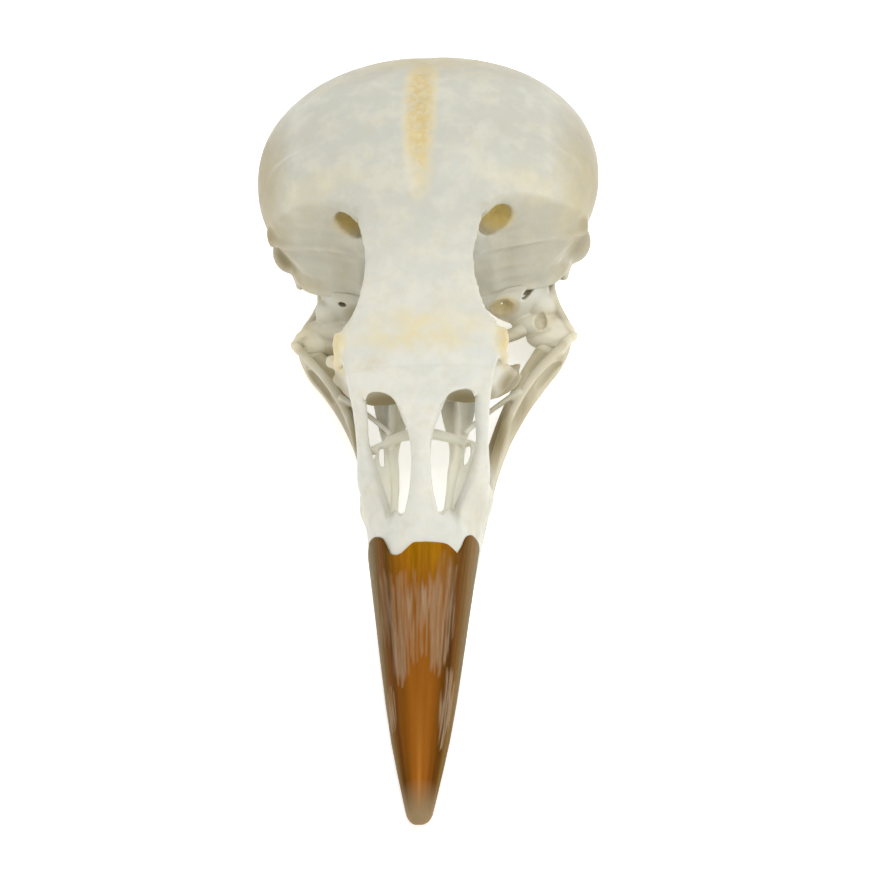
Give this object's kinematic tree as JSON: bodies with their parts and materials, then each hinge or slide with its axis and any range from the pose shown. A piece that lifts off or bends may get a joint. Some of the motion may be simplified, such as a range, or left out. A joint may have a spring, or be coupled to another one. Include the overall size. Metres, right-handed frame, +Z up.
{
  "type": "starling skull",
  "caption": "Still, life-size bird skull with a rounded braincase, open orbits and nostrils, slender jaws and an amber horn sheath on a long pointed bill.",
  "frame": {"origin": "middle of the skull's length and width, on the surface that the lower jaw rests on", "axes": "bill towards -Y, back of the head towards +Y, the bird's left towards +X, +Z up"},
  "size_m": [0.0222, 0.0554, 0.0175],
  "materials": {
    "bone": "smooth satin dry bone, ivory with grey and cream stains",
    "horn": "translucent amber-brown horn with pale flaky streaks"
  },
  "bodies": {
    "root": {"braincase": "bone", "ectethmoid_left": "bone", "ectethmoid_right": "bone", "jugal_left": "bone", "jugal_right": "bone", "lower_horn_sheath": "horn", "mandible_left": "bone", "mandible_right": "bone", "palatine_left": "bone", "palatine_right": "bone", "pterygoid_left": "bone", "pterygoid_right": "bone", "quadrate_left": "bone", "quadrate_right": "bone", "upper_beak": "bone", "upper_horn_sheath": "horn", "vomer": "bone"}
  },
  "joints": []
}
